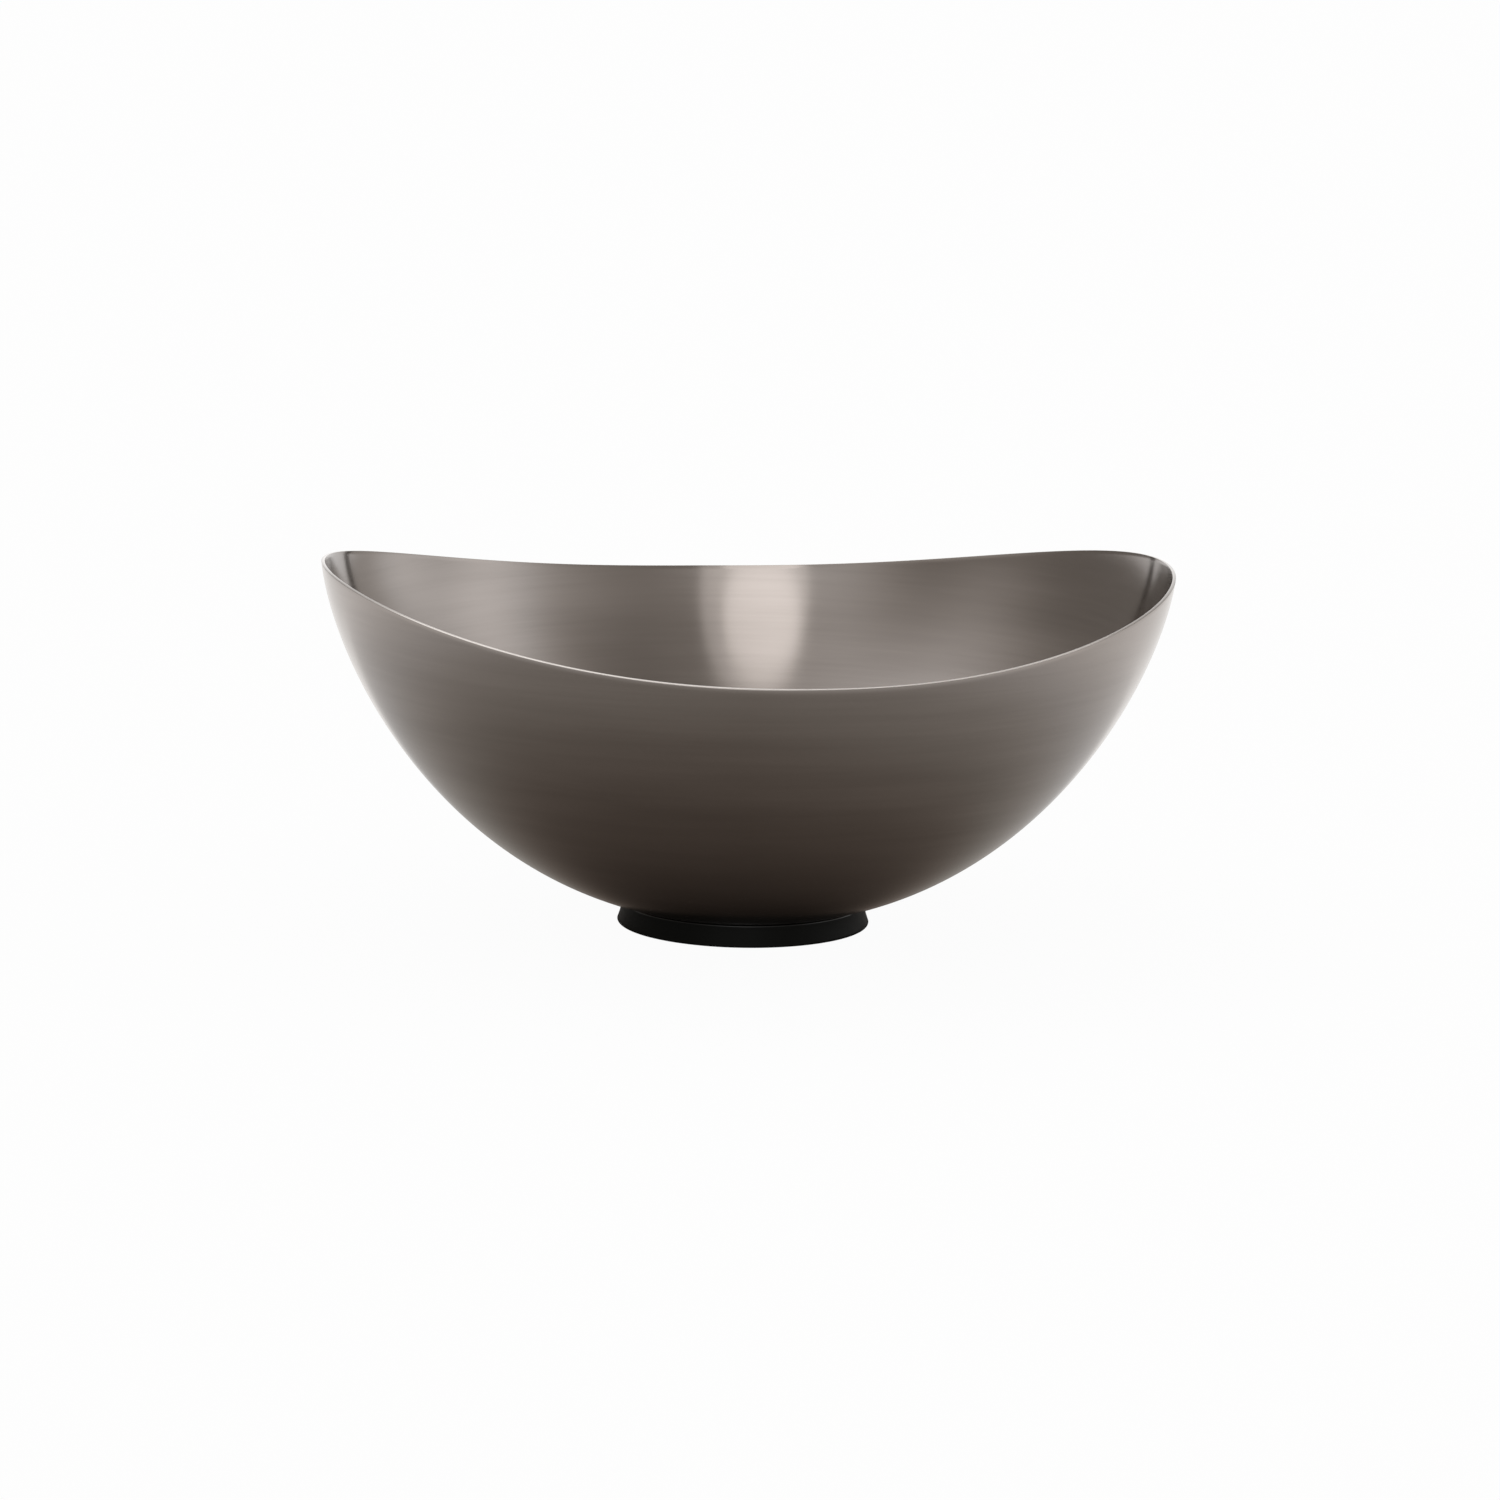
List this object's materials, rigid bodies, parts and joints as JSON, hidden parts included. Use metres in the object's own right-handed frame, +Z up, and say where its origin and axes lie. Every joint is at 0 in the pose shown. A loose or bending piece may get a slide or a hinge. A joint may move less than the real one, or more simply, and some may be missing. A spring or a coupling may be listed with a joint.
{
  "type": "sauce boat",
  "caption": "Round spun-steel sauce bowl with a saddle-cut rim that rises to both ends, on a low black foot ring with a soft grip ring underneath.",
  "frame": {"origin": "on the table, under the middle of the foot: the centre of the bottom of the overall box", "axes": "+X towards one of the two raised ends of the rim, which is the longest way across; +Z up; the low sides of the rim are on +Y and -Y"},
  "size_m": [0.18, 0.1738, 0.0781],
  "materials": {
    "bowl_metal": "dark warm grey (gunmetal) steel, satin, brushed round the axis inside and outside, with a brighter cut rim",
    "foot_black": "moulded black, satin, fine grain",
    "adhesive": "cured adhesive, hidden",
    "grip_rubber": "soft black rubber, matt"
  },
  "bodies": {
    "root": {"bowl": "bowl_metal", "foot_ring": "foot_black", "adhesive_ring": "adhesive", "grip_ring": "grip_rubber"}
  },
  "joints": []
}
